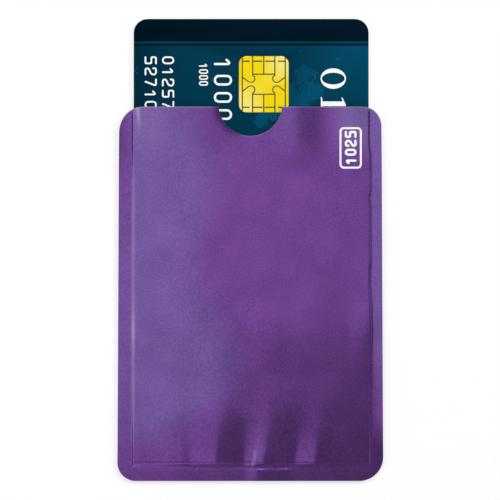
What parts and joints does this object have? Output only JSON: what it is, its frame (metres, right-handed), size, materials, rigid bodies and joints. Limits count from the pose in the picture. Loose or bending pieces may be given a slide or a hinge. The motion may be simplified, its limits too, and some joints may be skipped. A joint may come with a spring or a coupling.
{
  "type": "shielded card sleeve",
  "caption": "Flat laminated pocket sleeve with a thumb notch at its open end, sealed along three edges and lined with foil to shield a chip card, shown with the card partly drawn out.",
  "frame": {"origin": "middle of the sleeve's outline, on the face that its back lies on", "axes": "+X across the sleeve to its right, +Y along it to its open end, +Z out of its front"},
  "size_m": [0.061, 0.1062, 0.0019],
  "materials": {
    "outer_skin": "satin metallic purple print with fine grain",
    "foil": "bright rolled foil",
    "liner": "dull silver sealing film",
    "seal": "fused film",
    "card_overlay": "clear gloss over teal print",
    "card_print": "teal print",
    "card_core": "white",
    "antenna_wire": "enamelled copper",
    "magnetic_tape": "black-brown, glossy",
    "signature_panel": "white, matt",
    "module_tape": "glass-epoxy tape",
    "adhesive": "dull",
    "silicon": "polished",
    "resin": "black moulding resin",
    "contact_gold": "gold plating"
  },
  "bodies": {
    "sleeve": {"front_outer_skin": "outer_skin", "back_outer_skin": "outer_skin", "front_foil_shield": "foil", "back_foil_shield": "foil", "front_sealing_liner": "liner", "back_sealing_liner": "liner", "left_side_seal": "seal", "right_side_seal": "seal", "bottom_seal": "seal"},
    "card": {"card_front_overlay": "card_overlay", "card_back_overlay": "card_overlay", "card_front_print_sheet": "card_print", "card_back_print_sheet": "card_print", "antenna_inlay": "card_core", "antenna_coil": "antenna_wire", "magnetic_stripe": "magnetic_tape", "signature_panel": "signature_panel", "module_tape": "module_tape", "module_adhesive_ring": "adhesive", "chip_die": "silicon", "chip_resin_cap": "resin", "contact_c1": "contact_gold", "contact_c2": "contact_gold", "contact_c3": "contact_gold", "contact_c4": "contact_gold", "contact_c5": "contact_gold", "contact_c6": "contact_gold", "contact_c7": "contact_gold", "contact_c8": "contact_gold", "contact_ground_pad": "contact_gold", "contact_rim_right": "contact_gold", "contact_rim_left": "contact_gold"}
  },
  "joints": [
    {"name": "card_slide", "type": "slide", "parent": "sleeve", "child": "card", "axis": [0, 1, 0], "range_m": [-0.0163, 0.0674]}
  ]
}
